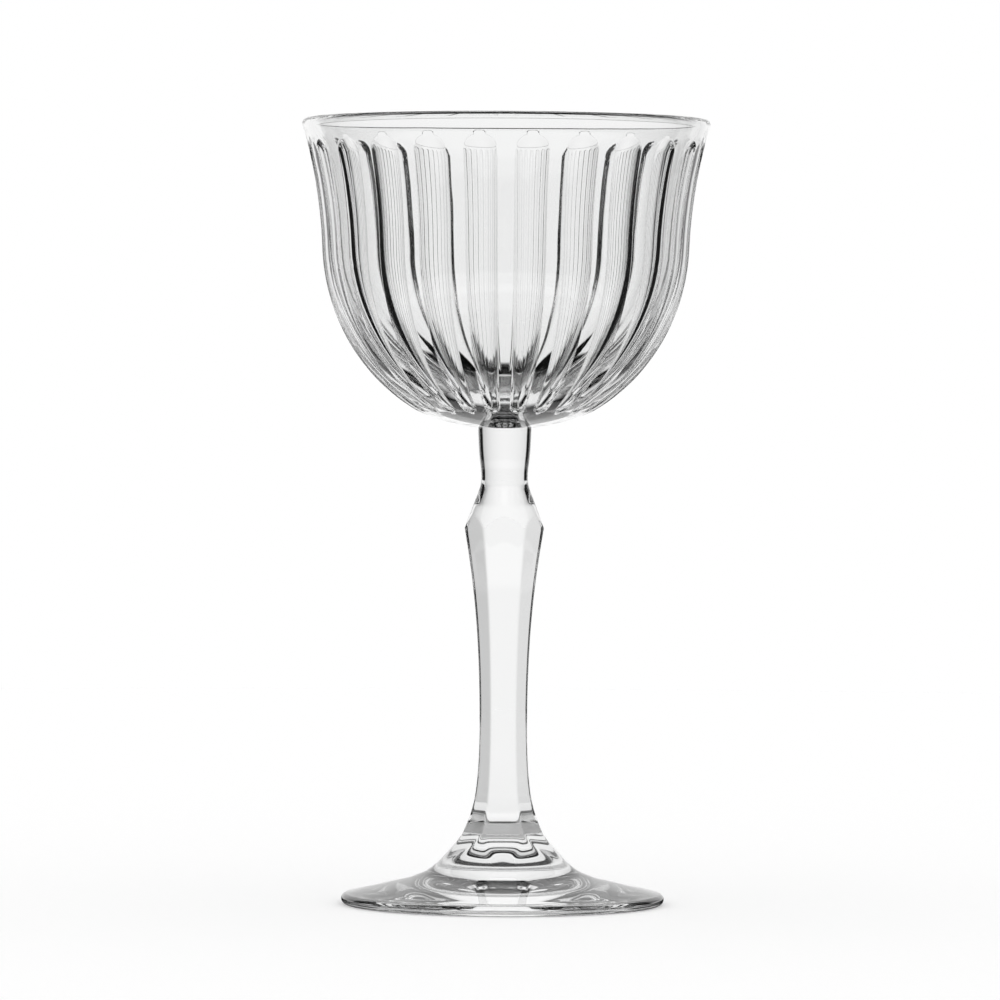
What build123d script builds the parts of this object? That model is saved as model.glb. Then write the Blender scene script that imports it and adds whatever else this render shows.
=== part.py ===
"""Stemmed cocktail glass: a fluted bowl, a six-sided stem and a round foot, joined by two hot welds."""

import math
import os

from build123d import *

# Heights of the three pieces, in millimetres, stacked from the table up
foot_height = 14.5
stem_length = 80.9
bowl_height = 62.6

# Bowl, with rises measured up from the weld on the stem
rim_radius = 41.1
lip_wall = 2.0
waist_radius = 36.95
waist_rise = 38.2
waist_wall = 2.5
flare_rise = 36.6
disc_radius = 17.3
disc_rise = 3.7
boss_radius = 5.4
boss_height = 0.5
disc_bulge = 0.45
base_thickness = 4.8

# Upright round flutes pressed into the bowl, which draw out of its wall at the head and the tail
flute_count = 24
flute_half_angle = 4.8
flute_depth = 1.1
flute_low_depth = 0.9
flute_top_drop = 4.6
flute_head = 3.0
flute_tail = 1.2
flute_run_out = 0.3
flute_steps = 10

# Stem, with drops measured down from the bowl and the rise measured up from the foot
neck_waist_radius = 4.7
neck_waist_drop = 9.6
knop_radius = 8.0
knop_drop = 19.6
shaft_radius = 4.9
shaft_drop = 51.0
shaft_rise = 16.5
stem_base_radius = 7.95

# The flats stand at this share of the corner radius, which leaves the six edges softly rounded
flat_share = 0.885
flat_count = 6

# Foot
foot_radius = 32.5
foot_edge = 2.2
foot_shoulder_radius = 20.0
foot_shoulder_height = 5.1
contact_ring_width = 4.4
underside_rise = 1.6

# Planes where the pieces meet
stem_top = foot_height + stem_length
glass_height = stem_top + bowl_height
waist_height = stem_top + waist_rise
flare_height = stem_top + flare_rise
lip_height = glass_height - lip_wall / 2


def between(start, end, across, down):
    """Return the point that lies the given shares of radius and of height from start to end."""
    radius = start[0] + across * (end[0] - start[0])
    height = start[1] + down * (end[1] - start[1])
    return (radius, height)


def ellipse_angle(low_radius, half_width):
    """Return the angle, below the waist, at which a wall's ellipse has the given radius."""
    return -math.degrees(math.acos(low_radius / half_width))


def draw_wall(half_width, half_height, low_radius, end_radius):
    """Draw a wall line: up an ellipse about the axis to the flare, then out along a tangent arc."""
    low_angle = ellipse_angle(low_radius, half_width)
    flare_angle = -math.degrees(math.asin((waist_height - flare_height) / half_height))
    cup = EllipticalCenterArc(
        (0, waist_height), half_width, half_height, low_angle, arc_size=flare_angle - low_angle
    )
    flare = TangentArc(cup @ 1, (end_radius, lip_height), tangent=cup % 1)
    return cup @ 0, flare @ 1


def outer_radius(height):
    """Return the radius of the bowl's outer wall at a height, on its ellipse or on the flare's arc."""
    if height < flare_height:
        return waist_radius * math.sqrt(1 - ((waist_height - height) / outer_half_height) ** 2)
    centre = flare_arc.arc_center
    across = math.sqrt(flare_arc.radius**2 - (height - centre.Y) ** 2)
    return centre.X + math.copysign(across, (flare_arc @ 0.5).X - centre.X)


def flute_circle(height):
    """Return how far from the axis a flute's circle stands at a height, and the circle's radius.

    The circle runs through the two edges and the floor of the flute. Past the head and the tail it
    draws out of the wall along a parabola.
    """
    wall = outer_radius(height)
    drawn_in = max((waist_radius - wall) / (waist_radius - disc_radius), 0)
    depth = flute_depth + drawn_in * (flute_low_depth - flute_depth)
    floor = wall - depth
    edge = wall * math.cos(math.radians(flute_half_angle))
    centre = (wall**2 - floor**2) / (2 * (edge - floor))
    past_head = max(height - flute_end, 0) / flute_head
    past_tail = max(flute_start - height, 0) / flute_tail
    return centre + depth * (past_head**2 + past_tail**2), centre - floor


def plane_across_flats(pair):
    """Return the upright plane through the axis whose local x points square to one pair of flats."""
    facing = math.radians(90 + pair * 360 / flat_count)
    return Plane(
        origin=(0, 0, 0),
        x_dir=(math.cos(facing), math.sin(facing), 0),
        z_dir=(math.sin(facing), -math.cos(facing), 0),
    )


# The outer ellipse runs through the edge of the smooth disc, and the inner one down to the base
outer_half_height = (waist_rise - disc_rise) / math.sqrt(1 - (disc_radius / waist_radius) ** 2)
inner_half_width = waist_radius - waist_wall
inner_half_height = waist_rise - base_thickness

# The line of the outer wall, which the flutes follow
with BuildLine() as outer_wall:
    draw_wall(waist_radius, outer_half_height, disc_radius, rim_radius)
flare_arc = outer_wall.edges().sort_by(Axis.Y)[-1]

# One flute cutter: a skin over level circles, closest together near the disc, where the wall turns in
flute_foot = stem_top + disc_rise
flute_start = flute_foot + flute_tail
flute_top = glass_height - flute_top_drop
flute_end = flute_top - flute_head
flute_heights = [flute_foot - flute_run_out * flute_tail, flute_foot]
for step in range(flute_steps + 1):
    flute_heights.append(flute_start + (flute_end - flute_start) * (step / flute_steps) ** 2)
flute_heights += [(flute_end + flute_top) / 2, flute_top, flute_top + flute_run_out * flute_head]

with BuildPart() as flute_cutter:
    for height in flute_heights:
        centre, radius = flute_circle(height)
        with BuildSketch(Plane.XY.offset(height)):
            with Locations((centre, 0)):
                Circle(radius)
    loft()

# Bowl
boss_foot = (boss_radius, stem_top)
boss_head = (boss_radius, stem_top + boss_height)
disc_edge = (disc_radius, stem_top + disc_rise)
lip_crown = (rim_radius - lip_wall / 2, glass_height)

with BuildPart() as bowl:
    with BuildSketch(Plane.XZ):
        with BuildLine():
            Polyline((0, stem_top), boss_foot, boss_head)
            SagittaArc(boss_head, disc_edge, -disc_bulge)
            outer_low, outer_lip = draw_wall(waist_radius, outer_half_height, disc_radius, rim_radius)
            inner_low, inner_lip = draw_wall(
                inner_half_width, inner_half_height, 0, rim_radius - lip_wall
            )
            ThreePointArc(outer_lip, lip_crown, inner_lip)
            Line(inner_low, (0, stem_top))
        make_face()
    revolve(axis=Axis.Z)
    with PolarLocations(0, flute_count, start_angle=180 / flute_count):
        add(flute_cutter.part, mode=Mode.SUBTRACT)

# Stem: a turned outline cut by three pairs of flats, which run straight up out of the round cone
neck_top = (boss_radius, stem_top)
neck_waist = (neck_waist_radius, stem_top - neck_waist_drop)
neck_middle = between(neck_top, neck_waist, across=0.42, down=0.52)
knop = (knop_radius, stem_top - knop_drop)
cone_top = between(neck_waist, knop, across=0.10, down=0.21)
shaft_high = (shaft_radius, stem_top - shaft_drop)
shaft_low = (shaft_radius, foot_height + shaft_rise)
stem_base = (stem_base_radius, foot_height)
neck_direction = (neck_middle[0] - neck_top[0], neck_middle[1] - neck_top[1])
cone_direction = (knop[0] - cone_top[0], knop[1] - cone_top[1])
shaft_points = [
    knop,
    between(knop, shaft_high, across=0.275, down=0.172),
    between(knop, shaft_high, across=0.59, down=0.401),
    between(knop, shaft_high, across=0.835, down=0.659),
    shaft_high,
    shaft_low,
    between(shaft_low, stem_base, across=0.20, down=0.49),
    between(shaft_low, stem_base, across=0.47, down=0.74),
    stem_base,
]
flat_points = [(flat_share * radius, height) for radius, height in shaft_points]
flat_top = (flat_share * knop_radius, stem_top)

with BuildPart() as stem:
    with BuildSketch(Plane.XZ):
        with BuildLine():
            Spline(neck_top, neck_middle, neck_waist, cone_top, tangents=[neck_direction, cone_direction])
            Line(cone_top, knop)
            Spline(*shaft_points)
            Polyline(stem_base, (0, foot_height), (0, stem_top), neck_top)
        make_face()
    revolve(axis=Axis.Z)
    for pair in range(flat_count // 2):
        with BuildSketch(plane_across_flats(pair)):
            with BuildLine():
                Spline(*flat_points)
                Polyline(flat_points[-1], (0, foot_height), (0, stem_top), flat_top, flat_points[0])
            make_face()
            mirror(about=Plane.YZ)
        extrude(amount=2 * knop_radius, both=True, mode=Mode.INTERSECT)

# Foot
throat = (stem_base_radius, foot_height)
shoulder = (foot_shoulder_radius, foot_shoulder_height)
edge_top = (foot_radius - foot_edge / 2, foot_edge)
edge_side = (foot_radius, foot_edge / 2)
edge_bottom = (foot_radius - foot_edge / 2, 0)
ring_inside = (foot_radius - foot_edge / 2 - contact_ring_width, 0)
underside_crown = (0, underside_rise)
throat_points = [
    throat,
    between(throat, shoulder, across=0.245, down=0.40),
    between(throat, shoulder, across=0.61, down=0.83),
    shoulder,
]
slope_direction = (edge_top[0] - shoulder[0], edge_top[1] - shoulder[1])
throat_direction = (0.5, -0.87)

# The stem's flats run on down the throat of the foot and fade out where it turns round
throat_flat = (flat_share * stem_base_radius, foot_height)
flat_fade = between(throat, shoulder, across=0.38, down=0.61)
throat_flat_points = [
    throat_flat,
    between(throat_flat, flat_fade, across=0.26, down=0.32),
    between(throat_flat, flat_fade, across=0.57, down=0.66),
    flat_fade,
]
past_edge = foot_radius + foot_edge

with BuildPart() as foot:
    with BuildSketch(Plane.XZ):
        with BuildLine():
            Spline(*throat_points, tangents=[throat_direction, slope_direction])
            Line(shoulder, edge_top)
            ThreePointArc(edge_top, edge_side, edge_bottom)
            Line(edge_bottom, ring_inside)
            TangentArc(underside_crown, ring_inside, tangent=(1, 0))
            Polyline(underside_crown, (0, foot_height), throat)
        make_face()
    revolve(axis=Axis.Z)
    for pair in range(flat_count // 2):
        with BuildSketch(plane_across_flats(pair)):
            with BuildLine():
                Spline(*throat_flat_points)
                Polyline(
                    flat_fade,
                    (past_edge, flat_fade[1]),
                    (past_edge, 0),
                    (0, 0),
                    (0, foot_height),
                    throat_flat,
                )
            make_face()
            mirror(about=Plane.YZ)
        extrude(amount=past_edge, both=True, mode=Mode.INTERSECT)

# One file for each piece
os.makedirs("parts", exist_ok=True)
bowl.part.label = "bowl"
export_step(bowl.part, "parts/bowl.step")
stem.part.label = "stem"
export_step(stem.part, "parts/stem.step")
foot.part.label = "foot"
export_step(foot.part, "parts/foot.step")
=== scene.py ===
"""Looks of a stemmed cocktail glass: three welded pieces of clear pressed glass on a white floor."""

import math

import bpy
import numpy as np
from mathutils import Matrix, Vector


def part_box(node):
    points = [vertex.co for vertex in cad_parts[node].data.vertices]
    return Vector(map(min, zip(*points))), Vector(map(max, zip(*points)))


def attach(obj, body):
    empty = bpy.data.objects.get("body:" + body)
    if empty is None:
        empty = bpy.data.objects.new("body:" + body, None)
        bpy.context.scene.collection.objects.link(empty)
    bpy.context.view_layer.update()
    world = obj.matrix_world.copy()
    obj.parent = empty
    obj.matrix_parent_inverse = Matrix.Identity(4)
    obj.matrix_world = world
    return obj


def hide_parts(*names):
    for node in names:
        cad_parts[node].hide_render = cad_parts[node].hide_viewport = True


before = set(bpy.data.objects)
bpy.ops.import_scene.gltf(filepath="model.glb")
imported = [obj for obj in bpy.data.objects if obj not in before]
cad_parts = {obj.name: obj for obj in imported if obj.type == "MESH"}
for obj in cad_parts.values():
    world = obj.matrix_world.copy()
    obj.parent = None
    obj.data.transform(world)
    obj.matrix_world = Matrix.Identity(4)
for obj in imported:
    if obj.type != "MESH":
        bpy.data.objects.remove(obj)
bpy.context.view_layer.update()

# One millimetre, the unit of the object's sizes, in metres
MM = 0.001


def node_reach(node):
    """Return a node's greatest radius and its lowest and highest heights, in millimetres."""
    low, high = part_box(node)
    return high[0] / MM, low[2] / MM, high[2] / MM


# Sizes that the frame gives
RIM_RADIUS, STEM_TOP, GLASS_HEIGHT = node_reach("bowl")
KNOP_RADIUS, FOOT_HEIGHT, _ = node_reach("stem")
FOOT_RADIUS, _, _ = node_reach("foot")

# Bowl, with rises measured up from the weld on the stem
LIP_WALL = 2.0
WAIST_RADIUS = 36.95
WAIST_HEIGHT = STEM_TOP + 38.2
WAIST_WALL = 2.5
FLARE_HEIGHT = STEM_TOP + 36.6
DISC_RADIUS = 17.3
DISC_RISE = 3.7
BOSS_RADIUS = 5.4
BOSS_HEIGHT = 0.5
DISC_BULGE = 0.45
BASE_THICKNESS = 4.8
LIP_HEIGHT = GLASS_HEIGHT - LIP_WALL / 2

# Upright round flutes pressed into the bowl
FLUTE_COUNT = 24
FLUTE_HALF_ANGLE = math.radians(4.8)
FLUTE_DEPTH = 1.1
FLUTE_LOW_DEPTH = 0.9
FLUTE_TOP = GLASS_HEIGHT - 4.6
FLUTE_HEAD = 3.0
FLUTE_TAIL = 1.2
RIB_ROUNDING = math.radians(0.12)

# Stem, with drops measured down from the bowl and the rise measured up from the foot
NECK_WAIST_RADIUS = 4.7
NECK_WAIST_DROP = 9.6
KNOP_DROP = 19.6
SHAFT_RADIUS = 4.9
SHAFT_DROP = 51.0
SHAFT_RISE = 16.5
STEM_BASE_RADIUS = 7.95
FLAT_COUNT = 6
FLAT_SHARE = 0.885
EDGE_CRISPNESS = 90

# Foot, with the shares of its radius at which the flats have faded out and at which they lie well clear
FOOT_EDGE = 2.2
FOOT_SHOULDER_RADIUS = 20.0
FOOT_SHOULDER_HEIGHT = 5.1
CONTACT_RING_WIDTH = 4.4
UNDERSIDE_RISE = 1.6
FADED_SHARE = 1.02
CLEAR_SHARE = 2.0

# Fineness of the curves that the meshes follow, and the turn past which an edge is drawn sharp
SPLINE_STEPS = 40
CUP_STEPS = 900
FLARE_STEPS = 500
SHARP_TURN = math.radians(55)


def between(start, end, across, down):
    """Return the point that lies the given shares of radius and of height from start to end."""
    radius = start[0] + across * (end[0] - start[0])
    height = start[1] + down * (end[1] - start[1])
    return (radius, height)


def along(line):
    """Return the length of a line from its start to each of its points."""
    return np.concatenate([[0.0], np.cumsum(np.hypot(*np.diff(line, axis=0).T))])


def stepped(line, steps):
    """Return the points that lie at the given lengths along a line."""
    length = along(line)
    return np.stack([np.interp(steps, length, line[:, 0]), np.interp(steps, length, line[:, 1])], axis=1)


def even_steps(line, count):
    """Return a line's points again, count of them, evenly spaced along its length."""
    return stepped(line, np.linspace(0, along(line)[-1], count))


def rows_between(line, heights, counts):
    """Return points on a rising line with the given count of even steps between each two heights."""
    stops = np.interp(heights, line[:, 1], along(line))
    runs = [np.linspace(a, b, n, endpoint=False) for a, b, n in zip(stops, stops[1:], counts)]
    return stepped(line, np.concatenate(runs + [stops[-1:]]))


def smooth_line(points, count, start=None, end=None):
    """Return a cubic spline through the points: piecewise cubics of chord length whose slope and
    bending both run on across each point, with given or straight end directions."""
    points = np.array(points, dtype=float)
    gaps = np.hypot(*np.diff(points, axis=0).T)
    knots = np.concatenate([[0.0], np.cumsum(gaps)])
    size = len(points)
    system = np.zeros((size, size))
    wanted = np.zeros((size, 2))
    inner = np.arange(1, size - 1)
    system[inner, inner - 1] = gaps[1:]
    system[inner, inner] = 2 * (gaps[:-1] + gaps[1:])
    system[inner, inner + 1] = gaps[:-1]
    rises = np.diff(points, axis=0) / gaps[:, None]
    wanted[inner] = 3 * (gaps[1:, None] * rises[:-1] + gaps[:-1, None] * rises[1:])
    system[0, :2] = (2, 1)
    wanted[0] = 3 * rises[0]
    system[-1, -2:] = (1, 2)
    wanted[-1] = 3 * rises[-1]
    for row, direction in ((0, start), (-1, end)):
        if direction is not None:
            system[row] = 0
            system[row, row] = 1
            wanted[row] = np.array(direction) / np.hypot(*direction)
    slopes = np.linalg.solve(system, wanted)
    spots = np.linspace(0, knots[-1], SPLINE_STEPS * size)
    span = np.clip(np.searchsorted(knots, spots, side="right") - 1, 0, size - 2)
    gap = gaps[span][:, None]
    u = ((spots - knots[span]) / gaps[span])[:, None]
    line = (
        (2 * u**3 - 3 * u**2 + 1) * points[span]
        + (u**3 - 2 * u**2 + u) * gap * slopes[span]
        + (3 * u**2 - 2 * u**3) * points[span + 1]
        + (u**3 - u**2) * gap * slopes[span + 1]
    )
    return even_steps(line, count)


def arc(centre, radius, first, last, count):
    """Return points on the circle about a centre, from its first angle to its last."""
    swing = np.linspace(first, last, count)
    return np.array(centre) + radius * np.stack([np.cos(swing), np.sin(swing)], axis=1)


def tangent_arc(start, direction, end, count):
    """Return points on the circle that leaves start along direction and passes through end. Its radius
    is the chord's square over twice the part of the chord that lies across the direction."""
    start, end = np.array(start), np.array(end)
    direction = np.array(direction) / np.hypot(*direction)
    normal = np.array([direction[1], -direction[0]])
    chord = end - start
    radius = chord @ chord / (2 * normal @ chord)
    turn = 2 * np.arctan2(normal @ chord, direction @ chord)
    swing = np.linspace(0, turn, count)[:, None]
    return start + radius * (np.sin(swing) * direction + (1 - np.cos(swing)) * normal)


def wall_line(half_width, half_height, low_radius, end_radius):
    """Return a wall's line from low to high: an ellipse about the axis, centred at the waist, up to
    the flare, then the arc that is tangent to it and ends at the lip."""
    low = -math.acos(low_radius / half_width)
    flare = -math.asin((WAIST_HEIGHT - FLARE_HEIGHT) / half_height)
    swing = np.linspace(low, flare, CUP_STEPS)
    cup = np.stack([half_width * np.cos(swing), WAIST_HEIGHT + half_height * np.sin(swing)], axis=1)
    direction = (-half_width * math.sin(flare), half_height * math.cos(flare))
    rising = tangent_arc(cup[-1], direction, (end_radius, LIP_HEIGHT), FLARE_STEPS)
    return np.concatenate([cup, rising[1:]])


def turned(line, angles):
    """Return the radius and height grids of a line carried round the axis: one row for each point."""
    ones = np.ones(len(angles))
    return line[:, 0][:, None] * ones, line[:, 1][:, None] * ones


def glass_piece(name, radius, height, angles, start_cap, end_cap):
    """Make a closed piece from radius and height grids, rows by angles, and shut both ends with a
    fan of faces about the axis. Each cap is its height and its finish: skin, or weld."""
    rows, columns = radius.shape
    ring = np.stack([radius * np.cos(angles), radius * np.sin(angles), height], axis=-1)
    poles = np.array([[0, 0, start_cap[0]], [0, 0, end_cap[0]]])
    spots = np.concatenate([ring.reshape(-1, 3), poles]) * MM
    here = np.arange(columns)
    beside = np.roll(here, -1)
    row = (np.arange(rows - 1) * columns)[:, None]
    sides = np.stack([row + here, row + columns + here, row + columns + beside, row + beside], axis=-1)
    first_pole, last_pole = rows * columns, rows * columns + 1
    last_row = (rows - 1) * columns
    start_fan = np.stack([np.full(columns, first_pole), here, beside], axis=-1)
    end_fan = np.stack([last_row + here, np.full(columns, last_pole), last_row + beside], axis=-1)
    faces = sides.reshape(-1, 4).tolist() + start_fan.tolist() + end_fan.tolist()
    finish = np.zeros(len(faces), dtype=np.int32)
    finish[-2 * columns:-columns] = start_cap[1] == "weld"
    finish[-columns:] = end_cap[1] == "weld"

    mesh = bpy.data.meshes.new(name)
    mesh.from_pydata(spots, [], faces)
    mesh.polygons.foreach_set("material_index", finish)
    mesh.shade_smooth()
    mesh.set_sharp_from_angle(angle=SHARP_TURN)
    piece = bpy.data.objects.new(name, mesh)
    bpy.context.scene.collection.objects.link(piece)
    return piece


def fluted(line, angles):
    """Return the radius of the fluted wall at each row and angle: the round wall cut by a ring of
    circles, each through the two edges and the floor of its flute, and which draw out of the wall
    along a parabola at the head and the tail. Lengths are shares of the wall's own radius."""
    panel = 2 * math.pi / FLUTE_COUNT
    off = angles % panel - panel / 2
    radius, height = line[:, 0], line[:, 1]
    drawn_in = np.clip((WAIST_RADIUS - radius) / (WAIST_RADIUS - DISC_RADIUS), 0, 1)
    depth = (FLUTE_DEPTH + drawn_in * (FLUTE_LOW_DEPTH - FLUTE_DEPTH)) / radius
    centre = (1 - (1 - depth) ** 2) / (2 * (math.cos(FLUTE_HALF_ANGLE) - 1 + depth))
    flute_radius = centre - 1 + depth
    head = np.clip((FLUTE_TOP - height) / FLUTE_HEAD, 0, 1)
    tail = np.clip((height - STEM_TOP - DISC_RISE) / FLUTE_TAIL, 0, 1)
    centre = (centre + depth * ((1 - head) ** 2 + (1 - tail) ** 2))[:, None]
    reach = flute_radius[:, None] ** 2 - (centre * np.sin(off)) ** 2
    cut = centre * np.cos(off) - np.sqrt(np.maximum(reach, 0))
    share = np.where(reach > 0, np.minimum(cut, 1), 1)
    return radius[:, None] * share


def flute_angles(flute_columns=25, rib_columns=8):
    """Return the angles of the bowl's columns: evenly across each flute, close together at its two
    edges, and evenly across the rib beside it."""
    panel = 2 * math.pi / FLUTE_COUNT
    edge = FLUTE_HALF_ANGLE
    flute = np.linspace(RIB_ROUNDING - edge, edge - RIB_ROUNDING, flute_columns)
    rib = np.linspace(edge + RIB_ROUNDING, panel - edge - RIB_ROUNDING, rib_columns)
    period = np.concatenate([flute, [edge], rib, [panel - edge]])
    starts = (np.arange(FLUTE_COUNT)[:, None] + 0.5) * panel
    return (starts + period).reshape(-1)


def make_bowl():
    """The bowl, from its inner floor up the smooth inner wall, over the round lip, down the fluted
    outer wall and the smooth disc, whose bulge is a parabola, to the boss welded to the stem."""
    floor_height = STEM_TOP + BASE_THICKNESS
    inner_half_height = WAIST_HEIGHT - floor_height
    inner = wall_line(WAIST_RADIUS - WAIST_WALL, inner_half_height, 0, RIM_RADIUS - LIP_WALL)
    inner = rows_between(inner, heights=[floor_height, FLARE_HEIGHT, LIP_HEIGHT], counts=[22, 8])[1:]
    lip = arc((RIM_RADIUS - LIP_WALL / 2, LIP_HEIGHT), LIP_WALL / 2, math.pi, 0, count=12)[1:-1]
    disc_height = STEM_TOP + DISC_RISE
    outer_half_height = (WAIST_HEIGHT - disc_height) / math.sqrt(1 - (DISC_RADIUS / WAIST_RADIUS) ** 2)
    outer = wall_line(WAIST_RADIUS, outer_half_height, DISC_RADIUS, RIM_RADIUS)
    flute_end, flute_start = FLUTE_TOP - FLUTE_HEAD, disc_height + FLUTE_TAIL
    outer_stops = [disc_height, flute_start, FLARE_HEIGHT, flute_end, FLUTE_TOP, LIP_HEIGHT]
    outer = rows_between(outer, heights=outer_stops, counts=[8, 34, 10, 14, 4])[::-1]
    boss_head = np.array([BOSS_RADIUS, STEM_TOP + BOSS_HEIGHT])
    chord = boss_head - outer[-1]
    share = np.linspace(0, 1, 10)[1:, None]
    sag = np.array([-chord[1], chord[0]]) / np.hypot(*chord) * DISC_BULGE
    disc = outer[-1] + share * chord + 4 * share * (1 - share) * sag
    boss = np.array([[BOSS_RADIUS, STEM_TOP]])

    angles = flute_angles()
    fluted_radius = fluted(outer, angles)
    _, fluted_height = turned(outer, angles)
    inside_radius, inside_height = turned(np.concatenate([inner, lip]), angles)
    under_radius, under_height = turned(np.concatenate([disc, boss]), angles)
    radius = np.concatenate([inside_radius, fluted_radius, under_radius])
    height = np.concatenate([inside_height, fluted_height, under_height])
    return glass_piece("fluted_bowl", radius, height, angles, (floor_height, "skin"), (STEM_TOP, "weld"))


def flat_angles(columns_per_flat=36):
    """Return angles round the stem, half evenly spaced and half by a cosine, which draws them together
    towards the six edges."""
    flat = 2 * math.pi / FLAT_COUNT
    steps = np.arange(columns_per_flat) / columns_per_flat
    drawn = (1 - np.cos(math.pi * steps)) / 2
    starts = -math.pi / 2 - flat / 2 + flat * np.arange(FLAT_COUNT)[:, None]
    return (starts + flat * (steps + drawn) / 2).reshape(-1)


def flatted(round_radius, flat_distance, angles):
    """Return the section radius at each row and angle where a round of one radius is cut by six flats
    at another distance: a power mean of the two, which leaves the edges softly rounded."""
    flat = 2 * math.pi / FLAT_COUNT
    off = (angles + math.pi / 2 + flat / 2) % flat - flat / 2
    flats = flat_distance[:, None] / np.cos(off)
    rounds = round_radius[:, None]
    return (flats**-EDGE_CRISPNESS + rounds**-EDGE_CRISPNESS) ** (-1 / EDGE_CRISPNESS)


def make_stem():
    """The stem, from its weld on the bowl down: a round neck, a round cone out of which the flats come
    in arches, and a tapering shaft whose flats stand at a fixed share of its radius."""
    neck_top = np.array([BOSS_RADIUS, STEM_TOP])
    neck_waist = (NECK_WAIST_RADIUS, STEM_TOP - NECK_WAIST_DROP)
    neck_middle = between(neck_top, neck_waist, across=0.42, down=0.52)
    knop = (KNOP_RADIUS, STEM_TOP - KNOP_DROP)
    cone_top = between(neck_waist, knop, across=0.10, down=0.21)
    shaft_high = (SHAFT_RADIUS, STEM_TOP - SHAFT_DROP)
    shaft_low = (SHAFT_RADIUS, FOOT_HEIGHT + SHAFT_RISE)
    stem_base = (STEM_BASE_RADIUS, FOOT_HEIGHT)
    neck_points = [neck_top, neck_middle, neck_waist, cone_top]
    shaft_points = [
        knop,
        between(knop, shaft_high, across=0.275, down=0.172),
        between(knop, shaft_high, across=0.59, down=0.401),
        between(knop, shaft_high, across=0.835, down=0.659),
        shaft_high,
        shaft_low,
        between(shaft_low, stem_base, across=0.20, down=0.49),
        between(shaft_low, stem_base, across=0.47, down=0.74),
        stem_base,
    ]
    cone_direction = np.subtract(knop, cone_top)
    neck = smooth_line(neck_points, count=50, start=neck_middle - neck_top, end=cone_direction)
    cone = np.linspace(cone_top, knop, 60)[1:-1]
    shaft = smooth_line(shaft_points, count=130)
    line = np.concatenate([neck, cone, shaft])
    radius, height = line[:, 0], line[:, 1]
    flats = FLAT_SHARE * np.where(height < knop[1], radius, KNOP_RADIUS)
    angles = flat_angles()
    section = flatted(radius, flats, angles)
    _, heights = turned(line, angles)
    return glass_piece("faceted_stem", section, heights, angles, (STEM_TOP, "weld"), (FOOT_HEIGHT, "weld"))


def make_foot():
    """The foot, from its weld on the stem down: a throat whose flats fade out, a shallow cone, a
    round edge, a flat contact ring and a slightly hollow underside."""
    throat = (STEM_BASE_RADIUS, FOOT_HEIGHT)
    shoulder = (FOOT_SHOULDER_RADIUS, FOOT_SHOULDER_HEIGHT)
    edge_middle = FOOT_RADIUS - FOOT_EDGE / 2
    slope_direction = np.array([edge_middle, FOOT_EDGE]) - shoulder
    throat_points = [
        throat,
        between(throat, shoulder, across=0.245, down=0.40),
        between(throat, shoulder, across=0.61, down=0.83),
        shoulder,
    ]
    flare = smooth_line(throat_points, count=70, start=(0.5, -0.87), end=slope_direction)
    slope = shoulder + np.linspace(0, 1, 16)[1:, None] * slope_direction
    edge_centre = (edge_middle, FOOT_EDGE / 2)
    edge = arc(edge_centre, FOOT_EDGE / 2, math.pi / 2, -math.pi / 2, count=18)[1:]
    ring_inside = (edge_middle - CONTACT_RING_WIDTH, 0)
    ring = np.linspace((edge_middle, 0), ring_inside, 4)[1:]
    hollow = tangent_arc((0, UNDERSIDE_RISE), (1, 0), ring_inside, count=24)[::-1][1:-1]
    line = np.concatenate([flare, slope, edge, ring, hollow])

    angles = flat_angles()
    fade_height = between(throat, shoulder, across=0, down=0.61)[1]
    faded = np.clip((FOOT_HEIGHT - line[:, 1]) / (FOOT_HEIGHT - fade_height), 0, 1)
    share = FLAT_SHARE + (FADED_SHARE - FLAT_SHARE) * faded
    share[len(flare):] = CLEAR_SHARE
    section = flatted(line[:, 0], share * line[:, 0], angles)
    _, heights = turned(line, angles)
    skin, weld_face = (UNDERSIDE_RISE, "skin"), (FOOT_HEIGHT, "weld")
    return glass_piece("round_foot", section, heights, angles, weld_face, skin)


# Clear glass and its fire-polished skin
GLASS_INDEX = 1.52
WAVE_SCALE = 90.0
WAVE_HEIGHT = 0.03 * MM
DRIFT_SCALE = 35.0
MOST_HAZE = 0.012
FAINT_TINT = (0.985, 0.99, 0.988, 1)
NO_TINT = (1, 1, 1, 1)


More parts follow.
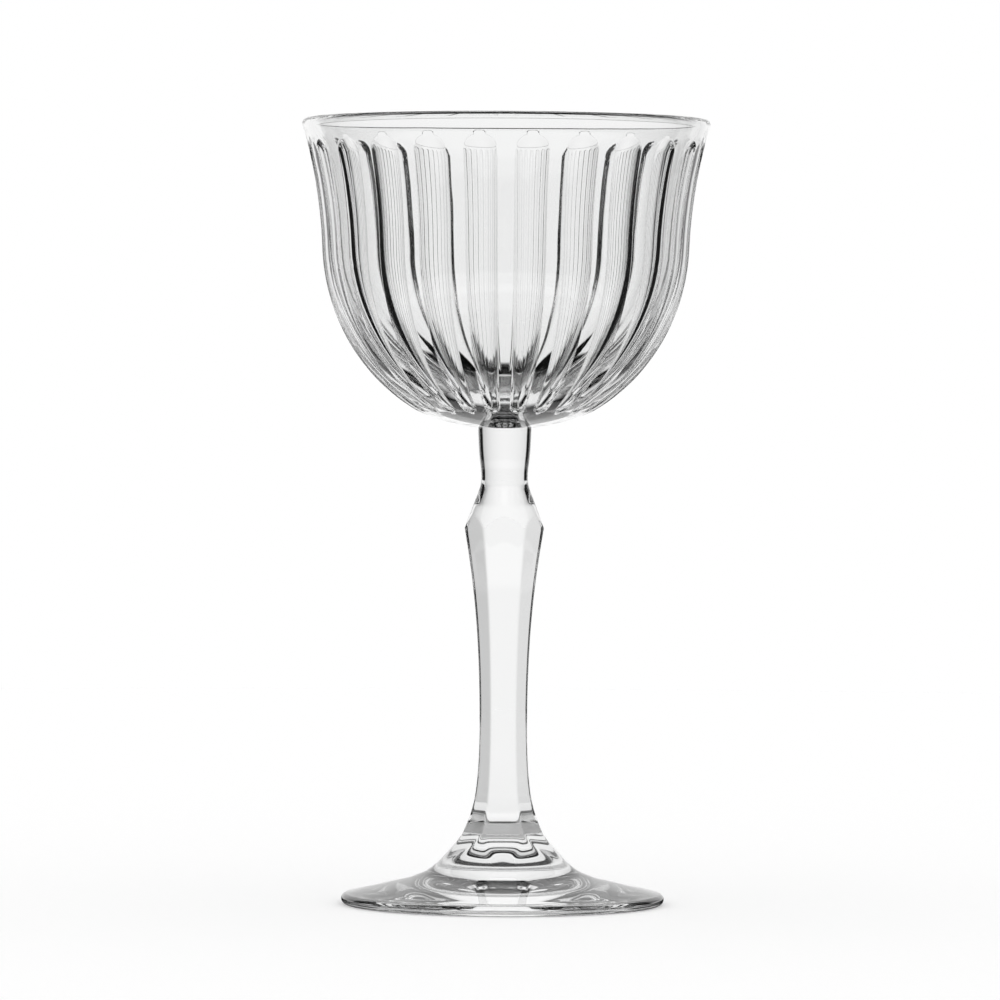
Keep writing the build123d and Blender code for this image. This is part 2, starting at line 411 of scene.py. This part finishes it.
def fire_polish_group():
    """A fire-polished skin: long, faint waves left by the mould, and a breath of haze and tint that
    drifts over the surface."""
    group = bpy.data.node_groups.new("fire_polish", "ShaderNodeTree")
    face = group.interface
    scale = face.new_socket("Wave Scale", in_out="INPUT", socket_type="NodeSocketFloat")
    scale.default_value = WAVE_SCALE
    face.new_socket("Tint", in_out="OUTPUT", socket_type="NodeSocketColor")
    face.new_socket("Haze", in_out="OUTPUT", socket_type="NodeSocketFloat")
    face.new_socket("Waves", in_out="OUTPUT", socket_type="NodeSocketFloat")
    nodes, links = group.nodes, group.links
    entry = nodes.new("NodeGroupInput")
    leave = nodes.new("NodeGroupOutput")
    place = nodes.new("ShaderNodeTexCoord")
    waves = nodes.new("ShaderNodeTexNoise")
    waves.inputs["Detail"].default_value = 1.0
    links.new(entry.outputs["Wave Scale"], waves.inputs["Scale"])
    links.new(place.outputs["Object"], waves.inputs["Vector"])
    links.new(waves.outputs["Fac"], leave.inputs["Waves"])
    drift = nodes.new("ShaderNodeTexNoise")
    drift.inputs["Scale"].default_value = DRIFT_SCALE
    links.new(place.outputs["Object"], drift.inputs["Vector"])
    tint = nodes.new("ShaderNodeMix")
    tint.data_type = "RGBA"
    tint.inputs["A"].default_value = FAINT_TINT
    tint.inputs["B"].default_value = NO_TINT
    links.new(drift.outputs["Fac"], tint.inputs["Factor"])
    links.new(tint.outputs["Result"], leave.inputs["Tint"])
    haze = nodes.new("ShaderNodeMapRange")
    haze.inputs["To Max"].default_value = MOST_HAZE
    links.new(drift.outputs["Fac"], haze.inputs["Value"])
    links.new(haze.outputs["Result"], leave.inputs["Haze"])
    return group


def clear_glass(polish):
    """Clear pressed glass: full transmission at the index of soda-lime glass, with the fire-polished
    skin in its tint, haze and waves."""
    finish = bpy.data.materials.new("clear_pressed_glass")
    finish.use_nodes = True
    nodes, links = finish.node_tree.nodes, finish.node_tree.links
    shader = nodes["Principled BSDF"]
    shader.inputs["Metallic"].default_value = 0
    shader.inputs["Transmission Weight"].default_value = 1
    shader.inputs["IOR"].default_value = GLASS_INDEX
    skin = nodes.new("ShaderNodeGroup")
    skin.node_tree = polish
    bump = nodes.new("ShaderNodeBump")
    bump.inputs["Strength"].default_value = 1.0
    bump.inputs["Distance"].default_value = WAVE_HEIGHT
    links.new(skin.outputs["Tint"], shader.inputs["Base Color"])
    links.new(skin.outputs["Haze"], shader.inputs["Roughness"])
    links.new(skin.outputs["Waves"], bump.inputs["Height"])
    links.new(bump.outputs["Normal"], shader.inputs["Normal"])
    return finish


def welded_glass():
    """The faces inside a hot weld: glass meets glass there, so nothing of them is left to see."""
    finish = bpy.data.materials.new("fused_weld_glass")
    finish.use_nodes = True
    shader = finish.node_tree.nodes["Principled BSDF"]
    shader.inputs["Metallic"].default_value = 0
    shader.inputs["Alpha"].default_value = 0
    return finish


glass = clear_glass(fire_polish_group())
weld = welded_glass()
for make, node in ((make_bowl, "bowl"), (make_stem, "stem"), (make_foot, "foot")):
    piece = make()
    piece.data.materials.append(glass)
    piece.data.materials.append(weld)
    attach(piece, "root")
    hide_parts(node)


# Bright field that the glass sees, in degrees round from the back wall and up from the horizon
FIELD_LIGHT = 0.99
FIELD_DIMMEST = 0.6
FIELD_HALF_WIDTH = 46.0
FIELD_LOW_HALF_WIDTH = 48.0
FIELD_LOWERS_AT = -7.0
FIELD_TOP = 42.0
FIELD_SOFTNESS = 2.0
FALL_RIGHT = 0.40
FALL_RIGHT_POWER = 1.8
FALL_LEFT = 0.17
FALL_LEFT_POWER = 1.5
SIDE_HALF_WIDTH = 15.0
FLAG_LIGHT = 0.01
FLAG_TOP = 25.0
FLAG_BOTTOM = -9.5
NEAR_FLOOR = -60.0

# White floor, in metres, and the shade painted into its colour: a contact shadow under the ring, and the
# share of the field that light scattered up through the glass sees
FLOOR_RADIUS = 0.9
FLOOR_SIDES = 96
FLOOR_DROP = 0.05 * MM
EYE_HEIGHT = 0.1
CONTACT_SHADE = 0.8
UNDERSIDE_SHADE = 0.15

# Dark patch painted into the floor's colour behind the object, seen only by light through two walls of
# glass or reflected inside, in centimetres from the axis and degrees round from the back wall
PAINTED_DARK_START = 11.0
PAINTED_DARK_END = 40.0
PAINTED_DARK_HALF_WIDTH = 30.0
PAINTED_DARK_PASSES = 2.5

# Units in a metre, in which the painted dark patch's edges are soft by 2 cm each way and the painted
# contact shadow's by 0.2 mm
CENTIMETRES = 100.0
TENTHS = 10 / MM


def maths_in(tree):
    """Return a function that adds a Math node to a tree, from numbers or other nodes' outputs."""

    def work(operation, first, second=0.0):
        node = tree.nodes.new("ShaderNodeMath")
        node.operation = operation
        for socket, value in zip(node.inputs, (first, second)):
            if isinstance(value, bpy.types.NodeSocket):
                tree.links.new(value, socket)
            else:
                socket.default_value = value
        return node.outputs[0]

    return work


def edges_in(tree):
    """Return a function that adds a soft edge to a tree: 1 below the edge and 0 above it."""
    work = maths_in(tree)

    def within(value, edge):
        node = tree.nodes.new("ShaderNodeMapRange")
        node.interpolation_type = "SMOOTHSTEP"
        node.inputs["From Max"].default_value = 2 * FIELD_SOFTNESS
        inside = work("SUBTRACT", work("ADD", edge, FIELD_SOFTNESS), value)
        tree.links.new(inside, node.inputs["Value"])
        return node.outputs["Result"]

    return within


def bands_in(tree):
    """Return a function that adds a soft band to a tree: 1 between two edges and 0 outside them."""
    work = maths_in(tree)
    within = edges_in(tree)

    def band(value, low, high):
        off_middle = work("ABSOLUTE", work("SUBTRACT", value, (low + high) / 2))
        return within(off_middle, (high - low) / 2)

    return band


def bright_field_group():
    """What the glass sees by direction: a wide bright panel behind and one in front, a narrow one at
    each side, and dark flags between them near the horizon. The panel behind falls off outwards, at
    most to the level of the one in front. The floor below the flags is bright, and so is the strip
    above those in front, up to the panels' top, past which it is dark. Light that the glass reflects
    sees only the panel behind and that strip."""
    group = bpy.data.node_groups.new("bright_field", "ShaderNodeTree")
    group.interface.new_socket("Direction", in_out="INPUT", socket_type="NodeSocketVector")
    group.interface.new_socket("Reflected", in_out="INPUT", socket_type="NodeSocketFloat")
    group.interface.new_socket("Light", in_out="OUTPUT", socket_type="NodeSocketFloat")
    nodes, links = group.nodes, group.links
    work = maths_in(group)
    within = edges_in(group)

    def opposite(mask):
        return work("SUBTRACT", 1.0, mask)

    entry = nodes.new("NodeGroupInput")
    unit = nodes.new("ShaderNodeVectorMath")
    unit.operation = "NORMALIZE"
    links.new(entry.outputs["Direction"], unit.inputs[0])
    axes = nodes.new("ShaderNodeSeparateXYZ")
    links.new(unit.outputs[0], axes.inputs[0])
    azimuth = work("DEGREES", work("ARCTAN2", axes.outputs["X"], axes.outputs["Y"]))
    height = work("DEGREES", work("ARCSINE", axes.outputs["Z"]))
    depth = work("MULTIPLY", height, -1.0)
    off_wall = work("PINGPONG", azimuth, 90.0)
    behind = within(work("ABSOLUTE", azimuth), 90.0)
    straight = opposite(work("MINIMUM", entry.outputs["Reflected"], 1.0))

    widened = work("MULTIPLY", within(height, FIELD_LOWERS_AT), FIELD_LOW_HALF_WIDTH - FIELD_HALF_WIDTH)
    wide = within(off_wall, work("ADD", widened, FIELD_HALF_WIDTH))
    wide = work("MULTIPLY", wide, work("MAXIMUM", behind, straight))
    rightward = work("MAXIMUM", work("DIVIDE", azimuth, FIELD_HALF_WIDTH), 0.0)
    leftward = work("MAXIMUM", work("DIVIDE", azimuth, -FIELD_HALF_WIDTH), 0.0)
    right_fall = work("MULTIPLY", work("POWER", rightward, FALL_RIGHT_POWER), FALL_RIGHT)
    left_fall = work("MULTIPLY", work("POWER", leftward, FALL_LEFT_POWER), FALL_LEFT)
    fall = work("ADD", right_fall, left_fall)
    bright = work("MAXIMUM", work("SUBTRACT", FIELD_LIGHT, fall), FIELD_DIMMEST)
    side = work("MULTIPLY", within(work("SUBTRACT", 90.0, off_wall), SIDE_HALF_WIDTH), straight)
    walls = work("MAXIMUM", work("MULTIPLY", wide, bright), side)

    level = within(height, FIELD_TOP)
    below = work("MULTIPLY", opposite(within(depth, -FLAG_BOTTOM)), straight)
    above = work("MULTIPLY", work("SUBTRACT", level, within(height, FLAG_TOP)), opposite(behind))
    near = work("MULTIPLY", opposite(within(depth, -NEAR_FLOOR)), straight)
    clear = work("MULTIPLY", work("MAXIMUM", below, above), opposite(wide))
    clear = work("MAXIMUM", clear, near)
    lit = work("MAXIMUM", work("MULTIPLY", walls, level), clear)
    leave = nodes.new("NodeGroupOutput")
    links.new(work("MAXIMUM", lit, FLAG_LIGHT), leave.inputs["Light"])
    return group


def field_for_glass(tree, direction, field, shade=1.0):
    """Add nodes that give light through or off the glass what the field gives along the direction,
    times a shade, and give all other light 1. Light that the floor scatters up through the glass sees
    the field only in part, so that the floor under the foot is lightly shaded."""
    nodes, links = tree.nodes, tree.links
    work = maths_in(tree)
    seen = nodes.new("ShaderNodeGroup")
    seen.node_tree = field
    links.new(direction, seen.inputs["Direction"])
    rays = nodes.new("ShaderNodeLightPath")
    links.new(rays.outputs["Glossy Depth"], seen.inputs["Reflected"])
    unscattered = work("LESS_THAN", rays.outputs["Diffuse Depth"], 0.5)
    flagged = work("MAXIMUM", unscattered, UNDERSIDE_SHADE)
    choice = nodes.new("ShaderNodeMix")
    choice.inputs["A"].default_value = 1.0
    links.new(work("MULTIPLY", rays.outputs["Is Glossy Ray"], flagged), choice.inputs["Factor"])
    links.new(work("MULTIPLY", seen.outputs["Light"], shade), choice.inputs["B"])
    return choice.outputs["Result"]


def white_floor(field):
    """A round white floor, a hair below the contact ring. Its colour is painted for the glass with the same
    field of light and dark flags, as from the middle of the object, and with a painted contact shadow under
    the ring. Light through two walls of glass, or through one face and reflected inside, also sees a
    painted dark patch in it behind the object."""
    angles = np.linspace(0, 2 * math.pi, FLOOR_SIDES, endpoint=False)
    rim = np.stack([np.cos(angles), np.sin(angles), np.zeros(FLOOR_SIDES)], axis=1) * FLOOR_RADIUS
    rim[:, 2] = -FLOOR_DROP
    mesh = bpy.data.meshes.new("white_floor")
    mesh.from_pydata(rim, [], [list(range(FLOOR_SIDES))])
    floor = bpy.data.objects.new("white_floor", mesh)
    bpy.context.scene.collection.objects.link(floor)
    finish = bpy.data.materials.new("white_sweep")
    finish.use_nodes = True
    tree = finish.node_tree
    nodes, links = tree.nodes, tree.links
    nodes.clear()
    work = maths_in(tree)
    within = edges_in(tree)
    band = bands_in(tree)
    place = nodes.new("ShaderNodeTexCoord")
    from_eye = nodes.new("ShaderNodeVectorMath")
    from_eye.operation = "SUBTRACT"
    from_eye.inputs[1].default_value = (0, 0, EYE_HEIGHT)
    links.new(place.outputs["Object"], from_eye.inputs[0])
    spot = nodes.new("ShaderNodeSeparateXYZ")
    links.new(place.outputs["Object"], spot.inputs[0])
    x_square = work("POWER", spot.outputs["X"], 2.0)
    y_square = work("POWER", spot.outputs["Y"], 2.0)
    reach = work("SQRT", work("ADD", x_square, y_square))

    # Painted dark patch: the floor's colour goes dark in a sector behind the object, for light through two
    # walls of glass or reflected inside
    off_back = work("ABSOLUTE", work("DEGREES", work("ARCTAN2", spot.outputs["X"], spot.outputs["Y"])))
    gap = band(work("MULTIPLY", reach, CENTIMETRES), PAINTED_DARK_START, PAINTED_DARK_END)
    gap = work("MULTIPLY", gap, within(off_back, PAINTED_DARK_HALF_WIDTH))
    rays = nodes.new("ShaderNodeLightPath")
    reflections = work("MULTIPLY", rays.outputs["Glossy Depth"], 2.0)
    passes = work("ADD", rays.outputs["Transmission Depth"], reflections)
    gap = work("MULTIPLY", gap, work("GREATER_THAN", passes, PAINTED_DARK_PASSES))
    # Painted contact shadow: the floor's colour darkens in a band from the inside of the foot's contact
    # ring out to its edge
    ring_outside = FOOT_RADIUS * MM * TENTHS
    ring_inside = (FOOT_RADIUS - FOOT_EDGE / 2 - CONTACT_RING_WIDTH) * MM * TENTHS
    painted_contact_shadow = band(work("MULTIPLY", reach, TENTHS), ring_inside, ring_outside)
    painted_contact_shadow = work("MULTIPLY", painted_contact_shadow, CONTACT_SHADE)
    shade = work("MULTIPLY", work("SUBTRACT", 1.0, gap), work("SUBTRACT", 1.0, painted_contact_shadow))
    cloth = nodes.new("ShaderNodeBsdfDiffuse")
    # Painted light: for light through or off the glass, the floor's colour is the bright field times the
    # painted shade; all other light sees it plain white
    links.new(field_for_glass(tree, from_eye.outputs[0], field, shade), cloth.inputs["Color"])
    links.new(cloth.outputs[0], nodes.new("ShaderNodeOutputMaterial").inputs["Surface"])
    mesh.materials.append(finish)


def studio_world(field):
    """White all round, with the bright field for light that comes through or off the glass."""
    world = bpy.data.worlds.new("studio")
    bpy.context.scene.world = world
    world.use_nodes = True
    nodes, links = world.node_tree.nodes, world.node_tree.links
    nodes.clear()
    place = nodes.new("ShaderNodeTexCoord")
    light = nodes.new("ShaderNodeBackground")
    light.inputs["Color"].default_value = (1, 1, 1, 1)
    links.new(field_for_glass(world.node_tree, place.outputs["Generated"], field), light.inputs["Strength"])
    links.new(light.outputs[0], nodes.new("ShaderNodeOutputWorld").inputs["Surface"])


# Camera at the photograph's place, in metres and degrees, with its lens and sensor in millimetres
CAMERA_DISTANCE = 1.278
CAMERA_HEIGHT = 0.1051
AIM_HEIGHT = 0.0814
AIM_SIDE = -0.0009
CAMERA_ROLL = 0.3
CAMERA_LENS = 228.5
SENSOR_WIDTH = 36
NEAREST_SEEN = 0.05
FURTHEST_SEEN = 20


def add_camera():
    """A long lens that looks along +Y, a little down, with the small lean of the photograph."""
    data = bpy.data.cameras.new("camera")
    data.sensor_width = SENSOR_WIDTH
    data.lens = CAMERA_LENS
    data.clip_start = NEAREST_SEEN
    data.clip_end = FURTHEST_SEEN
    camera = bpy.data.objects.new("camera", data)
    bpy.context.scene.collection.objects.link(camera)
    camera.location = (AIM_SIDE, -CAMERA_DISTANCE, CAMERA_HEIGHT)
    aim = Vector((AIM_SIDE, 0, AIM_HEIGHT)) - camera.location
    turn = aim.to_track_quat("-Z", "Y").to_matrix() @ Matrix.Rotation(math.radians(CAMERA_ROLL), 3, "Z")
    camera.rotation_euler = turn.to_euler()
    bpy.context.scene.camera = camera


bright_field = bright_field_group()
white_floor(bright_field)
studio_world(bright_field)
add_camera()

scene = bpy.context.scene
scene.view_settings.view_transform = "Standard"
scene.cycles.max_bounces = 32
scene.cycles.transmission_bounces = 32
scene.cycles.glossy_bounces = 16
